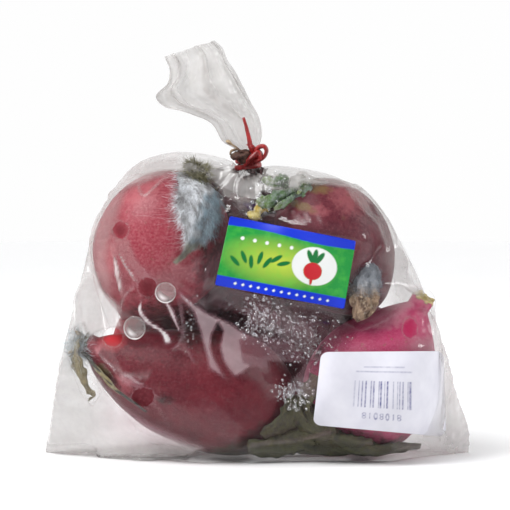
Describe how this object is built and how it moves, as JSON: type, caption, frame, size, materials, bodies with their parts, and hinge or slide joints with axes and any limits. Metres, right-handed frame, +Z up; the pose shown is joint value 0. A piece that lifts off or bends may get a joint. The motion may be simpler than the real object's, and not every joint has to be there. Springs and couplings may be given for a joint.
{
  "type": "bag of red radishes",
  "caption": "Clear polythene bag of large red radishes, its neck gathered and tied in red, with a printed label and a plain bar label; it stands unheld on its bottom.",
  "frame": {"origin": "middle of the bottom, on the surface that the bag stands on", "axes": "+Z up, the front with the labels towards -Y, +X to the right seen from the front"},
  "size_m": [0.1432, 0.0878, 0.14],
  "materials": {
    "film": "clear, slightly milky low-density polythene film, gloss",
    "tie": "red polythene band, wound and knotted",
    "dry_stalk": "dry brown stalk",
    "label_printed": "printed film label, green and yellow with blue bands",
    "label_bars": "white coated paper sticker",
    "radish_skin": "smooth, moist radish skin, deep red",
    "crown_stalks": "cut and withered leaf stalks",
    "shrivelled_root": "shrivelled brown root"
  },
  "bodies": {
    "root": {"bag_film": "film", "neck_tie": "tie", "dry_stalk": "dry_stalk", "label_printed": "label_printed", "label_bars": "label_bars", "radish_1": "radish_skin", "radish_2": "radish_skin", "radish_3": "radish_skin", "radish_4": "radish_skin", "radish_5": "radish_skin", "radish_6": "radish_skin", "radish_7": "radish_skin", "crown_1": "crown_stalks", "crown_2": "crown_stalks", "crown_3": "crown_stalks", "crown_4": "crown_stalks", "crown_5": "crown_stalks", "crown_6": "crown_stalks", "crown_7": "crown_stalks", "shrivelled_root": "shrivelled_root"}
  },
  "joints": []
}
